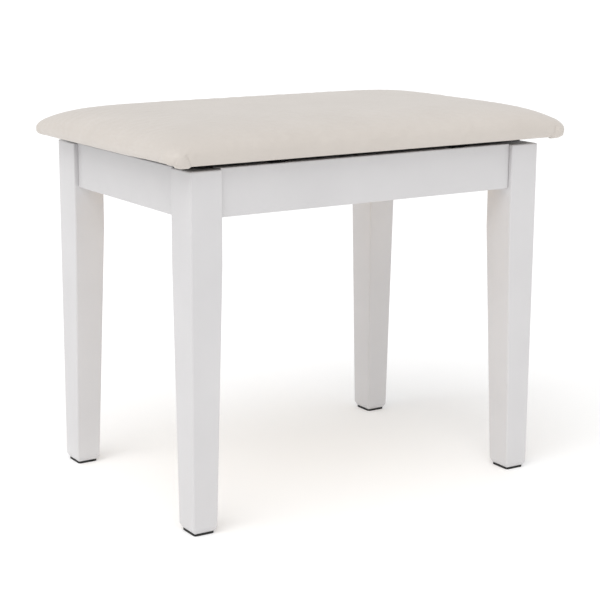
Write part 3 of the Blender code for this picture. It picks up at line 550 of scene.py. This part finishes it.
def corner_folds(along, height, fold, knot, tuck):
    """How far the cover goes in: two folds with a knot, a bulb between them and fine ridges above."""
    tuck_top = (-tuck - TUCK_LEAN, TUCK_HEIGHT)
    inward = pleat(along, height, (fold, 0.0), knot, FOLD_WIDTH, FOLD_DEPTH)
    inward += pleat(-along, height, (-tuck, 0.0), tuck_top, TUCK_WIDTH, TUCK_DEPTH)
    dimple = np.exp(-((along - knot[0]) ** 2 + (height - knot[1]) ** 2) / KNOT_RADIUS ** 2)
    inward += FOLD_DEPTH * dimple
    middle = (tuck + fold) / 2
    bulb = np.exp(-((along - middle) / 0.007) ** 2) * np.exp(-((height - 0.006) / 0.006) ** 2)
    inward -= BULB_SIZE * bulb
    for share in RIDGE_SHARES:
        ridge = np.exp(-((along - share * ARC_LENGTH) / RIDGE_WIDTH) ** 2)
        inward -= RIDGE_HEIGHT * ridge * smoothstep(0.016, 0.021, height) * smoothstep(0.036, 0.024, height)
    return inward


def pull_hem(pad):
    """Slight waves along the hem where the cover is stapled under the board."""
    low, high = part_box("seat_cover")
    points = read_points(pad.data)
    height = points[:, 2] - low.z
    fade = smoothstep(0.016, 0.001, height)
    for axis, other, half in ((0, 1, (high.x - low.x) / 2), (1, 0, (high.y - low.y) / 2)):
        place = points[:, other]
        wave = np.sin(place * 224.0 + axis) * 0.5
        wave += np.sin(place * 97.0 + 2.0) * 0.3
        wave += np.sin(place * 31.0) * 0.2
        outer = np.abs(points[:, axis]) > half - 0.012
        points[:, axis] += np.sign(points[:, axis]) * outer * wave * fade * HEM_WAVE
    write_points(pad.data, points)


def level_hem(pad):
    """The turned hem hangs lowest along the front, and is pulled up a little at the ends' front corners."""
    low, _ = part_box("seat_cover")
    points = read_points(pad.data)
    height = points[:, 2] - low.z
    along, inside, _ = corner_places(points)
    front = smoothstep(0.45 * ARC_LENGTH, ARC_LENGTH, along) * (points[:, 1] < 0)
    fade = smoothstep(0.011, 0.0, height) * smoothstep(HEM_INSET + HEM_TURN_UNDER, HEM_INSET, inside)
    end = smoothstep(-0.110, -0.030, along) * smoothstep(0.40 * ARC_LENGTH, 0.0, along) * (points[:, 1] < 0)
    points[:, 2] += (END_HEM_RISE * end - FRONT_HEM_DROP * front) * fade
    write_points(pad.data, points)


def make_cushion(material):
    """The upholstered seat in one skin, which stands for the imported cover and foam."""
    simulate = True
    bm = pad_mesh(*pad_points(SWELL_START if simulate else 0.0))
    pad = new_piece("seat_upholstery", bm, material, "lid")
    if simulate:
        swell(pad)
    rounding = pad.modifiers.new("rounding", "SUBSURF")
    rounding.levels = 1
    rounding.render_levels = 1
    bake(pad)
    level_hem(pad)
    pull_hem(pad)
    gather_corners(pad)
    pad.data.shade_smooth()
    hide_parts("seat_cover", "seat_foam")


def make_staples(material):
    """Staples that hold the turned-under hem to the board, a little askew."""
    low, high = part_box("seat_cover")
    rng = random.Random(7)
    half_x = (high.x - low.x) / 2 - STAPLE_INSET
    half_y = (high.y - low.y) / 2 - STAPLE_INSET
    bm = bmesh.new()
    for reach, offset, is_end in ((half_x, half_y, False), (half_y, half_x, True)):
        run = reach - STAPLE_CORNER_ROOM
        count = int(2 * run / STAPLE_SPACING)
        for side in (-1, 1):
            for i in range(count + 1):
                along = -run + 2 * run * i / count
                turn = rng.uniform(-0.22, 0.22) + (math.pi / 2 if is_end else 0.0)
                across = side * (offset + rng.uniform(-0.0012, 0.0012))
                x, y = (across, along) if is_end else (along, across)
                add_staple(bm, Vector((x, y, low.z)), turn)
    new_piece("hem_staples", bm, material, "lid")


def add_staple(bm, place, turn):
    """A wire crown just below the hem, with its two ends bent up into the board."""
    straight = STAPLE_HALF_WIDTH - STAPLE_BEND
    path = (
        (-STAPLE_HALF_WIDTH, 0.0015),
        (-STAPLE_HALF_WIDTH, 0.0003),
        (-straight, -STAPLE_PROUD),
        (straight, -STAPLE_PROUD),
        (STAPLE_HALF_WIDTH, 0.0003),
        (STAPLE_HALF_WIDTH, 0.0015),
    )
    spin = Matrix.Translation(place) @ Matrix.Rotation(turn, 4, "Z")
    rings = []
    for along, rise in path:
        ring = []
        for k in range(STAPLE_SIDES):
            angle = 2 * math.pi / STAPLE_SIDES * k
            point = Vector((along, STAPLE_WIRE * math.cos(angle), rise + STAPLE_WIRE * math.sin(angle)))
            ring.append(bm.verts.new(spin @ point))
        rings.append(ring)
    for first, second in zip(rings, rings[1:]):
        for k in range(STAPLE_SIDES):
            after = (k + 1) % STAPLE_SIDES
            bm.faces.new((first[k], first[after], second[after], second[k]))
    bm.faces.new(rings[0][::-1])
    bm.faces.new(rings[-1])


# ---------------------------------------------------------------- studio

def make_camera():
    """A long lens in front of the bench's left corner, a little above the seat."""
    data = bpy.data.cameras.new("camera")
    data.lens = LENS
    data.sensor_width = 36.0
    data.shift_x = SHIFT_X
    camera = bpy.data.objects.new("camera", data)
    camera.location = CAMERA_PLACE
    camera.rotation_euler = (math.pi / 2 - CAMERA_TILT, 0, -CAMERA_HEADING)
    bpy.context.scene.collection.objects.link(camera)
    bpy.context.scene.camera = camera


def add_soft_sun():
    """One very large, soft light, far away, so that the whole floor is equally bright."""
    data = bpy.data.lights.new("soft_sun", "SUN")
    data.energy = SUN_STRENGTH
    data.angle = SUN_SPREAD
    light = bpy.data.objects.new("soft_sun", data)
    light.rotation_euler = Vector(SUN_FROM).to_track_quat("Z", "Y").to_euler()
    bpy.context.scene.collection.objects.link(light)


def make_floor():
    bm = bmesh.new()
    bmesh.ops.create_grid(bm, x_segments=2, y_segments=2, size=FLOOR_SIZE)
    mesh = bpy.data.meshes.new("floor")
    bm.to_mesh(mesh)
    bm.free()
    mesh.materials.append(studio_floor())
    floor = bpy.data.objects.new("floor", mesh)
    floor.location.z = cad_low.z
    bpy.context.scene.collection.objects.link(floor)


def make_studio():
    """White floor and even white sky, with one soft sun from the front left."""
    make_floor()
    world = bpy.data.worlds.new("world")
    world.use_nodes = True
    background = world.node_tree.nodes["Background"]
    background.inputs["Color"].default_value = (1.0, 1.0, 1.0, 1.0)
    background.inputs["Strength"].default_value = SKY_STRENGTH
    bpy.context.scene.world = world
    add_soft_sun()
    bpy.context.scene.view_settings.view_transform = "Standard"


def main():
    make_studio()
    make_camera()
    cover = leatherette()
    metal = steel()
    dress(painted_wood("white_paint_upright", "Z"), "leg_")
    dress(painted_wood("white_paint_long", "X"), "rail_front", "rail_back")
    dress(painted_wood("white_paint_short", "Y"), "rail_left", "rail_right")
    dress(black_board(), "lid_base_board", "seat_board")
    dress(rubber("glide_look", (0.010, 0.010, 0.010), (0.030, 0.029, 0.028)), "glide_")
    dress(rubber("bumper_look", (0.008, 0.008, 0.008), (0.018, 0.018, 0.018)), "bumper_")
    dress(plywood(), "compartment_floor")
    dress(bare_wood(), "corner_block_")
    dress(metal, "corner_bolt_", "washer_", "hinge_", "lid_screw_", "stay_")
    make_cushion(cover)
    make_staples(metal)


main()
